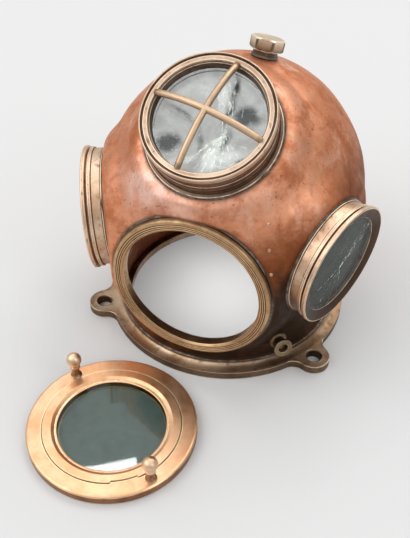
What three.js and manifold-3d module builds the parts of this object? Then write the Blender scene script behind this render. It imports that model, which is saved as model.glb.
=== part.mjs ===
// A copper and brass diving helmet with its round face plate taken off and laid beside it.
// Millimetres, +Z up. The front of the helmet faces -Y and everything stands on z = 0.
// The helmet's own axis is the line x = y = 0 until the last lines centre the whole part.
import * as THREE from "three";
import { mergeVertices } from "three/addons/utils/BufferGeometryUtils.js";
import Module from "manifold-3d";

const wasm = await Module();
wasm.setup();

// General fits
const gap = 0.3; // clear space between two pieces that touch on the real helmet
const cutPast = 1; // a cutter runs this far past the face that it opens
const bigRound = 30; // sides of the large turned rings
const smallRound = 12; // sides of knobs, bosses and fittings

// Dome: a slightly oval copper shell, deeper behind than in front, on a round neck
const shellWall = 2.4;
const domeHalfWidth = 132;
const domeHalfFront = 138;
const domeHalfBack = 145;
const domeHalfHeight = 135;
const domeHeight = 128.5; // its middle above the floor
const domeSetBack = 10; // its middle behind the neck's axis
const neckRadius = 114.5;
const neckFillet = 30; // the hollow curve from dome to neck
const domeRows = 10;
const filletRows = 2;
const domeSegments = 40; // sides of the shell and of the flange that it stands in
const seatBlend = 22; // how far the copper takes to run from a flat window seat to the round dome

// Neck flange with three bolt lugs
const flangeRadius = 128.3;
const flangeEdge = 9.2;
const flangeChamfer = 0.8;
const headBore = 106; // radius of the opening that the head goes through
const ledgeHeight = 7.5; // the shell stands on this ledge inside the collar
const collarTop = 12.6;
const collarWall = 2.4;
const shoulderSteps = 2;
const lugCount = 3;
const lugDistance = 136.2; // bolt hole from the helmet's axis
const lugTurn = 60; // first lug, degrees from the front
const lugRadius = 16.5;
const lugFillet = 14; // hollow corner between a lug and the ring
const boltHole = 7.3; // radius
const boltSink = 9;
const boltSinkDepth = 1.1;

// Windows: where each axis crosses the helmet's axis, its direction, and its ring
const front = { turn: 0, rise: 1.5, crossing: 99.3, reach: 115.1, ringHeight: 7, outer: 79.2 };
const top = { turn: 0, rise: 58.9, crossing: 148.7, reach: 129.5, ringHeight: 30, outer: 61 };
const right = { turn: 69, rise: -3.6, crossing: 128.4, reach: 139.6, ringHeight: 21.5, outer: 58.4 };
const left = { ...right, turn: -right.turn };
const seatMargin = 3; // flat copper beyond each ring
const seatReach = 40; // copper this far behind a seat or beyond its ring isn't touched by it
const spigotInset = 3; // the part of a ring that goes through the shell is this much smaller
const spigotPast = 1.8; // and reaches this far past its inner face

// Front ring, open, with fine grooves on its face
const frontFace = 77.4;
const frontBore = 67.5;
const frontInset = 1.8; // the bore's edge lies this much behind the face
const frontBevel = 1.2;
const frontGrooves = [74, 71];
const frontGrooveDepth = 0.7;
const frontGrooveWidth = 0.9;

// Top window
const topBarrel = 57.3;
const topLip = 58.9;
const topLipHeight = 5;
const topFootHeight = 2.6;
const topLipEdge = 0.8;
const topGrooveWidth = 3;
const topGrooveDepth = 1.1;
const topFaceInner = 51.4;
const topGlassRecess = 8.7;
const topGlassSeat = 49;
const topGlassThick = 8;
const topSight = 44;
const topRimSet = 0.6; // the flat inner face lies this much behind the lip's edge

// Guard: two bowed bars, crossed and soldered
const barRadius = 2.5;
const barBow = 12.5;
const barSink = 2.6; // the bars' ends below the lip's edge
const barTurn = -13.5;
const barCrossing = 91; // degrees from the first bar to the second
const barSides = 8;
const barSteps = 8;

// Side windows
const sideBarrel = 57.6;
const sideLip = 61.2;
const sideLipHeight = 4.2;
const sideLipEdge = 1.6;
const sideRib = 59.2;
const sideRibHeight = 3;
const sideGroove = 56.4;
const sideGrooveWidth = 2.2;
const sideFootHeight = 2.2;
const sideGlassSeat = 48.6;
const sideGlassRecess = 3.2;
const sideGlassThick = 7.6;
const sideSight = 44;

// Crown boss and its hexagon cap
const crownTurn = 163;
const crownRise = 71;
const crownBoss = 11.5;
const crownBossHeight = 4.4;
const capAcrossFlats = 28;
const capHeight = 11;
const capSpin = 21;
const capChamfer = 1.6;
const crownSink = 1.6; // the boss starts this far below the dome's highest point under it

// Neck stub: a short tube with a flanged, drilled end
const stubTurn = 45;
const stubHeight = 33;
const stubAim = 38;
const stubRise = 12;
const stubLength = 17;
const stubTube = 6.4;
const stubCollar = 8.4;
const stubCollarHeight = 3.4;
const stubCollarEdge = 1;
const stubFlange = 9.5;
const stubFlangeThick = 3;
const stubHole = 4.7;
const stubHoleDepth = 5;

// Face plate, lying on the floor
const plateX = -39.9;
const plateY = -219.3;
const plateRadius = 81.4;
const plateThick = 10.4;
const plateChamfer = 0.9;
const rimOuter = 66.4;
const rimRise = 1.1; // the inner ring stands this much above the outer one
const rimBevelStart = 58;
const rimBevelDrop = 1.7;
const rimBore = 54.8;
const rimLip = 52.2;
const rimLipHeight = 1;
const plateFloor = 1.7; // the flange under the glass
const plateSight = 50.5;
const plateGlassRadius = 56.2;
const plateGlassThick = 6;
const keyStart = -66.5; // the keyed stretch of the joint line, degrees about the plate
const keyEnd = -44.5;
const keyDepth = 1.9;
const keyPlay = 0.3; // degrees that the keyway is wider at each end

// Ball knobs on the face plate
const knobDistance = 73;
const knobTurn = 143.5;
const knobBall = 7.4;
const knobRise = 22.6; // ball's middle above the plate
const knobFoot = 5.6;
const knobFootHeight = 1.2;
const knobWaist = 3.6;
const knobWaistFrom = 4;
const knobWaistTo = 9;
const knobCollar = 4.7;
const knobRows = 6;

// Finishes
const copper = finish(0xb0704f, 0.42, 1);
const brass = finish(0xa27c4c, 0.4, 1);
const darkBrass = finish(0x7d6242, 0.5, 1);
const brightCopper = finish(0xdb9c6e, 0.3, 1);
const paleBrass = finish(0xc7a57a, 0.3, 1);
const glass = finish(0x46504c, 0.1, 0);

function finish(color, roughness, metalness) {
  return new THREE.MeshStandardMaterial({ color, roughness, metalness });
}

// Solids

function solidOf(geometry) {
  const bare = geometry.clone();
  bare.deleteAttribute("normal");
  bare.deleteAttribute("uv");
  const merged = mergeVertices(bare, 1e-3);
  const index = merged.index.array;
  const kept = [];
  for (let i = 0; i < index.length; i += 3) {
    const [a, b, c] = [index[i], index[i + 1], index[i + 2]];
    if (a !== b && b !== c && a !== c) kept.push(a, b, c);
  }
  return new wasm.Manifold(
    new wasm.Mesh({
      numProp: 3,
      vertProperties: merged.attributes.position.array,
      triVerts: new Uint32Array(kept),
    }),
  );
}

function geometryOf(solid) {
  const mesh = solid.getMesh();
  const geometry = new THREE.BufferGeometry();
  geometry.setAttribute("position", new THREE.BufferAttribute(mesh.vertProperties, 3));
  geometry.setIndex(new THREE.BufferAttribute(mesh.triVerts, 1));
  geometry.computeVertexNormals();
  return geometry;
}

function meshOf(name, geometry, material) {
  const mesh = new THREE.Mesh(geometry, material);
  mesh.name = name;
  return mesh;
}

// Turns a section of [radius, height] points about the Z axis. The outer side runs upwards.
// A section that leaves the axis is closed on its own first point.
function turned(section, segments = bigRound) {
  const points = section.map(([radius, height]) => new THREE.Vector2(radius, height));
  if (section[0][0] > 0) points.push(points[0].clone());
  return new THREE.LatheGeometry(points, segments).rotateX(Math.PI / 2);
}

function cylinder(radius, from, to, segments = smallRound) {
  return turned([[0, from], [radius, from], [radius, to], [0, to]], segments);
}

// Extrudes a flat shape upwards from one height to another.
function slab(shape, from, to) {
  const settings = { depth: to - from, bevelEnabled: false, curveSegments: 4 };
  return new THREE.ExtrudeGeometry(shape, settings).translate(0, 0, from);
}

function degrees(angle) {
  return THREE.MathUtils.degToRad(angle);
}

// A direction that is turned from the front (-Y) towards +X and raised above the floor.
function direction(turn, rise) {
  const flat = Math.cos(degrees(rise));
  return new THREE.Vector3(
    Math.sin(degrees(turn)) * flat,
    -Math.cos(degrees(turn)) * flat,
    Math.sin(degrees(rise)),
  );
}

// A frame whose Z axis points along a direction and whose Y axis points as far up as it can.
function frameAt(origin, turn, rise) {
  const out = direction(turn, rise);
  const side = new THREE.Vector3(0, 0, 1).cross(out).normalize();
  const up = out.clone().cross(side);
  return new THREE.Matrix4().makeBasis(side, up, out).setPosition(origin);
}

function groupAt(matrix) {
  const group = new THREE.Group();
  group.applyMatrix4(matrix);
  return group;
}

// Window seats

function windowFrame(window) {
  const out = direction(window.turn, window.rise);
  const origin = out.multiplyScalar(window.reach - window.ringHeight);
  origin.z += window.crossing;
  return frameAt(origin, window.turn, window.rise);
}

const windows = [front, right, left, top];
for (const window of windows) {
  window.frame = windowFrame(window);
  window.inverse = window.frame.clone().invert();
  window.spigot = window.outer - spigotInset;
}

// The room that a window ring takes in the shell, with clearance all round.
function seatCutter(window) {
  const narrow = window.spigot + gap;
  const wide = window.outer + gap;
  const step = gap / 2;
  const section = [[0, -seatReach], [narrow, -seatReach], [narrow, step], [wide, step]];
  section.push([wide, seatReach], [0, seatReach]);
  return turned(section).applyMatrix4(window.frame);
}

// Bonnet shell

function smooth(low, high, value) {
  return THREE.MathUtils.smoothstep(value, low, high);
}

// The round form before it is made oval: a ball on a neck, with a hollow fillet between them.
function ballOnNeck(inset) {
  const ball = domeHalfHeight - inset;
  const neck = neckRadius - inset;
  const fillet = neckFillet + inset;
  const filletDrop = Math.sqrt((ball + fillet) ** 2 - (neck + fillet) ** 2);
  const tangent = Math.acos(-filletDrop / (ball + fillet));
  const points = [];
  for (let i = 0; i <= domeRows; i++) {
    const angle = (tangent * i) / domeRows;
    points.push([ball * Math.sin(angle), domeHeight + ball * Math.cos(angle)]);
  }
  for (let i = 1; i <= filletRows; i++) {
    const angle = tangent + ((Math.PI / 2 - tangent) * i) / filletRows;
    const radius = neck + fillet - fillet * Math.sin(angle);
    points.push([radius, domeHeight - filletDrop - fillet * Math.cos(angle)]);
  }
  points.push([neck, collarTop + gap], [neck, ledgeHeight + gap]);
  points[0][0] = 0;
  return points;
}

// Moves a point of the round form onto the real dome: oval, set back, flat at each window.
function ontoDome(point, inset) {
  const ovalFrom = domeHeight - domeHalfHeight / 2;
  const oval = smooth(ovalFrom, domeHeight, point.z);
  const depth = point.y < 0 ? domeHalfFront : domeHalfBack;
  point.x *= THREE.MathUtils.lerp(1, domeHalfWidth / domeHalfHeight, oval);
  point.y *= THREE.MathUtils.lerp(1, depth / domeHalfHeight, oval);
  point.y += domeSetBack * oval;
  const aboveFlange = smooth(collarTop, collarTop + neckFillet, point.z);
  for (const window of windows) {
    point.applyMatrix4(window.inverse);
    const flat = window.outer + seatMargin;
    const reach = 1 - smooth(flat, flat + seatBlend, Math.hypot(point.x, point.y));
    const near = point.z > -seatReach ? 1 : 0;
    point.z = THREE.MathUtils.lerp(point.z, -inset, reach * near * aboveFlange);
    point.applyMatrix4(window.frame);
  }
}

function makeShell() {
  const inside = ballOnNeck(shellWall);
  const section = [...inside, ...ballOnNeck(0).reverse()];
  const geometry = turned(section, domeSegments);
  const position = geometry.attributes.position;
  const point = new THREE.Vector3();
  for (let i = 0; i < position.count; i++) {
    point.fromBufferAttribute(position, i);
    ontoDome(point, i % section.length < inside.length ? shellWall : 0);
    position.setXYZ(i, point.x, point.y, point.z);
  }
  let solid = solidOf(geometry);
  for (const window of windows) solid = solid.subtract(solidOf(seatCutter(window)));
  return meshOf("bonnet_shell", geometryOf(solid), copper);
}

// Neck flange

function flangeSection() {
  const bed = neckRadius + gap;
  const collar = bed + collarWall;
  const edge = flangeRadius - flangeChamfer;
  const section = [[headBore, 0], [edge, 0], [flangeRadius, flangeChamfer]];
  section.push([flangeRadius, flangeEdge - flangeChamfer], [edge, flangeEdge]);
  for (let i = 1; i <= shoulderSteps; i++) {
    const angle = (Math.PI / 2) * (i / shoulderSteps);
    const radius = edge - (edge - collar) * Math.sin(angle);
    section.push([radius, collarTop - (collarTop - flangeEdge) * Math.cos(angle)]);
  }
  section.push([bed, collarTop], [bed, ledgeHeight], [headBore, ledgeHeight]);
  return section;
}

// One lug seen from above, along +X, with hollow corners that run into the ring.
function lugShape() {
  const nearRing = flangeRadius + lugFillet;
  const nearLug = lugRadius + lugFillet;
  const along = (nearRing ** 2 - nearLug ** 2 + lugDistance ** 2) / (2 * lugDistance);
  const aside = Math.sqrt(nearRing ** 2 - along ** 2);
  const atRing = Math.atan2(aside, along);
  const atLug = Math.atan2(aside, along - lugDistance);
  const inner = neckRadius + gap + collarWall;
  const shape = new THREE.Shape();
  shape.moveTo(inner * Math.cos(atRing), -inner * Math.sin(atRing));
  shape.absarc(along, -aside, lugFillet, Math.PI - atRing, Math.PI - atLug, true);
  shape.absarc(lugDistance, 0, lugRadius, -atLug, atLug, false);
  shape.absarc(along, aside, lugFillet, atLug - Math.PI, atRing - Math.PI, true);
  shape.lineTo(inner * Math.cos(atRing), inner * Math.sin(atRing));
  return shape;
}

function makeFlange() {
  let solid = solidOf(turned(flangeSection(), domeSegments));
  const hole = cylinder(boltHole, -cutPast, flangeEdge + cutPast);
  const sinkSection = [[0, flangeEdge - boltSinkDepth], [boltHole, flangeEdge - boltSinkDepth]];
  sinkSection.push([boltSink, flangeEdge + gap], [0, flangeEdge + gap]);
  const sink = turned(sinkSection, smallRound);
  for (let i = 0; i < lugCount; i++) {
    const turn = new THREE.Matrix4().makeRotationZ(degrees(lugTurn + (360 / lugCount) * i - 90));
    const lug = slab(lugShape(), 0, flangeEdge).applyMatrix4(turn);
    const cut = hole.clone().translate(lugDistance, 0, 0).applyMatrix4(turn);
    const cutSink = sink.clone().translate(lugDistance, 0, 0).applyMatrix4(turn);
    solid = solid.add(solidOf(lug)).subtract(solidOf(cut)).subtract(solidOf(cutSink));
  }
  return meshOf("neck_flange", geometryOf(solid), darkBrass);
}

// Window rings and glasses, each in its own window's frame

function spigotBack() {
  return -shellWall - spigotPast;
}

function frontRingSection() {
  const face = front.ringHeight;
  const section = [[frontBore, spigotBack()], [front.spigot, spigotBack()], [front.spigot, gap]];
  section.push([front.outer, gap], [front.outer, face / 2], [frontFace, face - frontBevel / 2]);
  section.push([frontFace - frontBevel, face]);
  for (const radius of frontGrooves) {
    section.push([radius + frontGrooveWidth / 2, face], [radius, face - frontGrooveDepth]);
    section.push([radius - frontGrooveWidth / 2, face]);
  }
  section.push([frontBore + frontInset, face], [frontBore, face - frontInset]);
  return section;
}

function topRingSection() {
  const lip = top.ringHeight;
  const rim = lip - topRimSet;
  const glassTop = lip - topGlassRecess;
  const glassBed = glassTop - topGlassThick - gap;
  const section = [[topSight, spigotBack()], [top.spigot, spigotBack()], [top.spigot, gap]];
  section.push([top.outer, gap], [top.outer, topFootHeight / 2], [topBarrel, topFootHeight]);
  section.push([topBarrel, lip - topLipHeight], [topLip, lip - topLipHeight]);
  const edge = topLip - topLipEdge;
  section.push([topLip, lip - topLipEdge], [edge, lip]);
  section.push([edge - topGrooveWidth / 2, rim - topGrooveDepth]);
  section.push([edge - topGrooveWidth, rim], [topFaceInner, rim], [topGlassSeat, glassTop]);
  section.push([topGlassSeat, glassBed], [topSight, glassBed]);
  return section;
}

function sideRingSection() {
  const lip = right.ringHeight;
  const lipFoot = lip - sideLipHeight;
  const ribTop = lipFoot - sideGrooveWidth;
  const ribFoot = ribTop - sideRibHeight;
  const glassTop = lip - sideGlassRecess;
  const glassBed = glassTop - sideGlassThick - gap;
  const section = [[sideSight, spigotBack()], [right.spigot, spigotBack()], [right.spigot, gap]];
  section.push([right.outer, gap], [right.outer, sideFootHeight], [sideBarrel, sideFootHeight]);
  section.push([sideBarrel, ribFoot], [sideRib, ribFoot], [sideRib, ribTop]);
  section.push([sideGroove, lipFoot - sideGrooveWidth / 2], [sideLip, lipFoot]);
  section.push([sideLip, lip - sideLipEdge / 2], [sideLip - sideLipEdge, lip]);
  section.push([sideGlassSeat, glassTop + gap], [sideGlassSeat, glassBed], [sideSight, glassBed]);
  return section;
}

function glassDisc(seatRadius, from, thick) {
  return cylinder(seatRadius - gap, from, from + thick, bigRound);
}

// Guard bars, bowed outwards and cut to the recess that they stand in

class BowedBar extends THREE.Curve {
  getPoint(t, target = new THREE.Vector3()) {
    const span = topFaceInner + barRadius;
    const share = 2 * t - 1;
    const foot = top.ringHeight - barSink;
    return target.set(share * span, 0, foot + barBow * (1 - share * share));
  }
}

function barGeometry(turn) {
  const section = new THREE.Shape();
  for (let i = 0; i < barSides; i++) {
    const angle = (2 * Math.PI * (i + 0.5)) / barSides;
    const [x, y] = [barRadius * Math.cos(angle), barRadius * Math.sin(angle)];
    if (i === 0) section.moveTo(x, y);
    else section.lineTo(x, y);
  }
  const settings = { steps: barSteps, extrudePath: new BowedBar() };
  return new THREE.ExtrudeGeometry(section, settings).rotateZ(degrees(turn));
}

function makeGuard() {
  const lip = top.ringHeight;
  const slope = (topFaceInner - topGlassSeat) / (topGlassRecess - topRimSet);
  const low = lip - topGlassRecess + gap;
  const recess = [[0, low], [topGlassSeat + slope * gap - gap, low]];
  recess.push([topFaceInner - gap, lip - topRimSet], [topFaceInner - gap, lip + barBow + cutPast]);
  recess.push([0, lip + barBow + cutPast]);
  const crossed = solidOf(barGeometry(barTurn)).add(solidOf(barGeometry(barTurn + barCrossing)));
  const guard = crossed.intersect(solidOf(turned(recess)));
  return meshOf("guard_bars", geometryOf(guard), brass);
}

function makeWindows() {
  const group = new THREE.Group();
  const frontGroup = groupAt(front.frame);
  frontGroup.add(meshOf("front_ring", turned(frontRingSection()), brass));
  const topGroup = groupAt(top.frame);
  const topBed = top.ringHeight - topGlassRecess - topGlassThick;
  topGroup.add(meshOf("top_window_ring", turned(topRingSection()), brass));
  topGroup.add(meshOf("top_glass", glassDisc(topGlassSeat, topBed, topGlassThick), glass));
  topGroup.add(makeGuard());
  group.add(frontGroup, topGroup);
  const sideBed = right.ringHeight - sideGlassRecess - sideGlassThick;
  for (const [side, window] of Object.entries({ right, left })) {
    const sideGroup = groupAt(window.frame);
    sideGroup.add(meshOf(side + "_window_ring", turned(sideRingSection()), brass));
    const disc = glassDisc(sideGlassSeat, sideBed, sideGlassThick);
    sideGroup.add(meshOf(side + "_glass", disc, glass));
    group.add(sideGroup);
  }
  return group;
}

// What is left outside the shell of a fitting that is made in its own frame, clear of the copper.
function seatedOn(shell, frame, geometry) {
  const local = shell.geometry.clone().applyMatrix4(frame.clone().invert());
  const lifted = local.clone().translate(0, 0, gap);
  const pieces = solidOf(geometry).subtract(solidOf(local)).subtract(solidOf(lifted)).decompose();
  pieces.sort((a, b) => b.volume() - a.volume());
  return geometryOf(pieces[0]);
}

// Crown boss with its hexagon cap

// The distance from the dome's middle to its outer face along a direction.
function domeReach(out) {
  const depth = out.y < 0 ? domeHalfFront : domeHalfBack;
  return 1 / Math.hypot(out.x / domeHalfWidth, out.y / depth, out.z / domeHalfHeight);
}

function crownFrame() {
  const out = direction(crownTurn, crownRise);
  const foot = out.multiplyScalar(domeReach(out));
  foot.y += domeSetBack;
  foot.z += domeHeight;
  return frameAt(foot, crownTurn, crownRise);
}

function makeCrown(shell) {
  const frame = crownFrame();
  const group = groupAt(frame);
  const block = cylinder(crownBoss, -crownSink, crownBossHeight);
  group.add(meshOf("crown_boss", seatedOn(shell, frame, block), brass));
  const wide = capAcrossFlats / Math.sqrt(3);
  const low = crownBossHeight + gap;
  const section = [[0, low], [wide - capChamfer, low], [wide, low + capChamfer / 2]];
  section.push([wide, low + capHeight - capChamfer / 2], [wide - capChamfer, low + capHeight]);
  section.push([0, low + capHeight]);
  const hexagon = new THREE.CylinderGeometry(wide, wide, capHeight, 6).rotateX(Math.PI / 2);
  hexagon.translate(0, 0, low + capHeight / 2).rotateZ(degrees(capSpin));
  const cap = solidOf(hexagon).intersect(solidOf(turned(section, bigRound)));
  group.add(meshOf("crown_hex_cap", geometryOf(cap), paleBrass));
  return group;
}

// Neck stub

function makeStub(shell) {
  const foot = direction(stubTurn, 0).multiplyScalar(neckRadius);
  foot.z = stubHeight;
  const frame = frameAt(foot, stubAim, stubRise);
  const endFoot = stubLength - stubFlangeThick;
  const section = [[0, -stubCollar], [stubCollar, -stubCollar], [stubCollar, stubCollarHeight]];
  section.push([stubTube, stubCollarHeight + stubCollarEdge], [stubTube, endFoot], [stubFlange, endFoot]);
  section.push([stubFlange, stubLength], [stubHole, stubLength]);
  section.push([stubHole, stubLength - stubHoleDepth], [0, stubLength - stubHoleDepth]);
  const group = groupAt(frame);
  group.add(meshOf("neck_stub", seatedOn(shell, frame, turned(section, smallRound)), darkBrass));
  return group;
}

// Face plate

function keySector(inner, outer, margin) {
  const shape = new THREE.Shape();
  const start = degrees(keyStart - margin);
  const end = degrees(keyEnd + margin);
  shape.absarc(0, 0, outer, start, end, false);
  shape.absarc(0, 0, inner, end, start, true);
  return shape;
}

function makePlate() {
  const group = new THREE.Group();
  group.position.set(plateX, plateY, 0);
  const edge = plateRadius - plateChamfer;
  const bore = rimOuter + gap;
  const ringSection = [[plateSight, 0], [edge, 0], [plateRadius, plateChamfer]];
  ringSection.push([plateRadius, plateThick - plateChamfer], [edge, plateThick]);
  ringSection.push([bore, plateThick], [bore, plateFloor], [plateSight, plateFloor]);
  const key = keySector(rimOuter - keyDepth, bore + cutPast, 0);
  const ring = solidOf(turned(ringSection)).add(solidOf(slab(key, plateFloor / 2, plateThick)));
  group.add(meshOf("plate_ring", geometryOf(ring), brightCopper));
  const low = plateFloor + gap;
  const high = plateThick + rimRise;
  const glassTop = low + plateGlassThick;
  const glassBore = plateGlassRadius + gap;
  const rimSection = [[glassBore, low], [rimOuter, low], [rimOuter, high - rimRise / 3]];
  rimSection.push([rimOuter - rimRise / 2, high], [rimBevelStart, high]);
  rimSection.push([rimBore, high - rimBevelDrop], [rimBore, glassTop + gap + rimLipHeight]);
  rimSection.push([rimLip, glassTop + gap + rimLipHeight], [rimLip, glassTop + gap]);
  rimSection.push([glassBore, glassTop + gap]);
  const keyway = keySector(rimOuter - keyDepth - gap, bore + cutPast, keyPlay);
  const rim = solidOf(turned(rimSection)).subtract(solidOf(slab(keyway, 0, high + cutPast)));
  group.add(meshOf("plate_rim", geometryOf(rim), brightCopper));
  const pane = cylinder(plateGlassRadius, low, glassTop, bigRound);
  group.add(meshOf("plate_glass", pane, glass));
  for (const i of [0, 1]) {
    const angle = degrees(knobTurn + 180 * i);
    const knob = meshOf("plate_knob_" + (i + 1), turned(knobSection(), smallRound), paleBrass);
    knob.position.set(knobDistance * Math.cos(angle), knobDistance * Math.sin(angle), plateThick + gap);
    group.add(knob);
  }
  return group;
}

function knobSection() {
  const section = [[0, 0], [knobFoot, 0], [knobFoot, knobFootHeight]];
  section.push([knobWaist, knobWaistFrom], [knobWaist, knobWaistTo]);
  const from = Math.asin(knobCollar / knobBall);
  for (let i = 0; i <= knobRows; i++) {
    const angle = Math.PI - from - ((Math.PI - from) * i) / knobRows;
    section.push([knobBall * Math.sin(angle), knobRise - gap + knobBall * Math.cos(angle)]);
  }
  section[section.length - 1][0] = 0;
  return section;
}

// The whole part, moved so that its outline is centred on the origin and stands on z = 0

const part = new THREE.Group();
const shell = makeShell();
part.add(shell, makeFlange(), makeWindows(), makeCrown(shell), makeStub(shell), makePlate());
const bounds = new THREE.Box3().setFromObject(part, true);
const centre = bounds.getCenter(new THREE.Vector3());
part.position.set(-centre.x, -centre.y, -bounds.min.z);

export default part;
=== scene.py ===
"""A copper and brass diving helmet with its face plate laid in front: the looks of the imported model.

Shapes are written in millimetres, in the frame of the helmet's own axis (front towards -Y),
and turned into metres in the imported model's frame when a mesh is made.
"""
import math

import bmesh
import bpy
import numpy as np
from mathutils import Matrix, Vector, noise


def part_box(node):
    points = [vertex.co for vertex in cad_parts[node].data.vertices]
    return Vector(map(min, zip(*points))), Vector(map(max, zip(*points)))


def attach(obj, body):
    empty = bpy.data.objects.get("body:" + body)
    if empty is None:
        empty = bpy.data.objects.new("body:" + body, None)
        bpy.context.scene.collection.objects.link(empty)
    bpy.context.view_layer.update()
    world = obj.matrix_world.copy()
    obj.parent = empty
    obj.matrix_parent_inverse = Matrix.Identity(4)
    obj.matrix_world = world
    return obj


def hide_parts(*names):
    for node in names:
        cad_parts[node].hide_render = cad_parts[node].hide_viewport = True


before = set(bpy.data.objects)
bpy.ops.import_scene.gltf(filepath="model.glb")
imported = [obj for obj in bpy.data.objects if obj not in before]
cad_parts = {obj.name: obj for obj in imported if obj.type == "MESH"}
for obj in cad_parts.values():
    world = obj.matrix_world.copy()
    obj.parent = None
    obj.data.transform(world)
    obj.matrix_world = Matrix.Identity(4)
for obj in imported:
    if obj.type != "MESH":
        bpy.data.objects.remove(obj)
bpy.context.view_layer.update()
noise.seed_set(1)  # without this, noise_vector differs from run to run

MM = 0.001
GAP = 0.3  # clear space between two solids that touch on the real helmet

# Dome and neck
SHELL_WALL = 2.4
DOME_WIDTH = 132
DOME_FRONT = 138
DOME_BACK = 145
DOME_HALF_HEIGHT = 135
DOME_HEIGHT = 128.5
DOME_SET_BACK = 10
NECK_RADIUS = 114.5
NECK_FILLET = 30
SEAT_BLEND = 22
SEAT_MARGIN = 3
SEAT_REACH = 40
DOME_COLUMNS = 280
DOME_ROWS = 120
FILLET_ROWS = 12
NECK_ROWS = 16
SET_IN = 1.05  # the skin lies this far inside the solid, so that its bumps never stand out
CALM_BAND = 14  # no bumps next to a ring; they grow over this width

# Neck flange
FLANGE_RADIUS = 128.3
FLANGE_EDGE = 9.2
HEAD_BORE = 106
LEDGE = 7.5
COLLAR_TOP = 12.6
COLLAR_WALL = 2.4
FLANGE_CHAMFER = 0.8
FLANGE_BEVEL = 0.7
LUG_DISTANCE = 136.2
LUG_TURNS = (60, 180, 300)
LUG_RADIUS = 16.5
LUG_FILLET = 14
BOLT_HOLE = 7.3
BOLT_SINK = 9
BOLT_SINK_DEPTH = 1.1

# Windows: turn from the front, rise above the level, height where the window's axis crosses the
# helmet's axis, distance from there to the ring's face, the ring's height and its outer radius
WINDOWS = {
    "front": dict(turn=0, rise=1.5, crossing=99.3, reach=115.1, ring=7, outer=79.2),
    "top": dict(turn=0, rise=58.9, crossing=148.7, reach=129.5, ring=30, outer=61),
    "right": dict(turn=69, rise=-3.6, crossing=128.4, reach=139.6, ring=21.5, outer=58.4),
    "left": dict(turn=-69, rise=-3.6, crossing=128.4, reach=139.6, ring=21.5, outer=58.4),
}
SPIGOT_INSET = 3
SPIGOT_BACK = -SHELL_WALL - 1.8

# Face plate
PLATE_X = -39.9
PLATE_Y = -219.3
PLATE_THICK = 10.4
KEY_START = -66.5
KEY_END = -44.5
KEY_DEPTH = 1.9
KNOB_DISTANCE = 73
KNOB_TURN = 143.5

plate_low, plate_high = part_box("plate_ring")
plate_middle = (plate_low + plate_high) / 2
HELMET = Matrix.Translation(
    (plate_middle.x - PLATE_X * MM, plate_middle.y - PLATE_Y * MM, 0)
) @ Matrix.Scale(MM, 4)


# Directions and frames


def direction(turn, rise):
    flat = math.cos(math.radians(rise))
    return Vector((
        math.sin(math.radians(turn)) * flat,
        -math.cos(math.radians(turn)) * flat,
        math.sin(math.radians(rise)),
    ))


def around(radius, turn):
    return radius * math.cos(turn), radius * math.sin(turn)


def frame_at(origin, out):
    """A matrix whose Z axis points along out and whose Y axis points as far up as it can."""
    out = out.normalized()
    side = Vector((0, 0, 1)).cross(out).normalized()
    up = out.cross(side)
    place = Matrix.Identity(4)
    for i, axis in enumerate((side, up, out, Vector(origin))):
        for j in range(3):
            place[j][i] = axis[j]
    return place


def place_windows():
    """Adds each window's own frame, whose Z axis points out of it from the ring's foot."""
    for window in WINDOWS.values():
        out = direction(window["turn"], window["rise"])
        foot = out * (window["reach"] - window["ring"]) + Vector((0, 0, window["crossing"]))
        window["frame"] = frame_at(foot, out)
        window["matrix"] = np.array(window["frame"])
        window["inverse"] = np.array(window["frame"].inverted())
        window["spigot"] = window["outer"] - SPIGOT_INSET


def seen_from(window, points):
    """The points in a window's own frame, and how far each lies from its axis."""
    local = points @ window["inverse"][:3, :3].T + window["inverse"][:3, 3]
    return local, np.hypot(local[:, 0], local[:, 1])


place_windows()


# Meshes

STRAIGHT = math.radians(12)  # a corner that turns less than this isn't rounded
FULL_TURN = math.radians(80)  # one that turns this much is a full edge
SHARP = 32  # degrees between two faces from which their edge is a sharp one
CUT_SHARP = 26
MERGE = 1e-6
SLIVER = 3e-6


def beside(here, way, cut, support):
    """The point a support distance past a corner's end, if there is room for it."""
    far = min(cut + support, 0.47 * way.length)
    return [(*(here + way.normalized() * far), 0.0)] if far > cut + 0.05 else []


def rounded(points, radius=0.45, support=0.9, closed=True, steps=3):
    """Rounds a section's corners. Each point comes out as (radius, height, edge): edge is above 0
    on an outside corner and below 0 in an inside one, and is 0 a support distance away."""
    out = []
    count = len(points)
    for i, (x, y) in enumerate(points):
        here = Vector((x, y))
        if not closed and i in (0, count - 1):
            out.append((x, y, 0.0))
            continue
        before = Vector(points[i - 1]) - here
        after = Vector(points[(i + 1) % count]) - here
        turn = math.atan2(
            -before.x * after.y + before.y * after.x, -before.x * after.x - before.y * after.y
        )
        if abs(turn) < STRAIGHT:
            out.append((x, y, 0.0))
            continue
        cut = min(radius * math.tan(abs(turn) / 2), 0.35 * before.length, 0.35 * after.length)
        weight = max(-1.0, min(1.0, turn / FULL_TURN))
        out += beside(here, before, cut, support)
        start = here + before.normalized() * cut
        end = here + after.normalized() * cut
        for step in range(steps + 1):
            t = step / steps
            point = start * (1 - t) ** 2 + here * 2 * t * (1 - t) + end * t * t
            out.append((*point, weight))
        out += beside(here, after, cut, support)
    return out


def show(name, data):
    """Makes an object and puts it in the scene."""
    thing = bpy.data.objects.new(name, data)
    bpy.context.scene.collection.objects.link(thing)
    return thing


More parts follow.
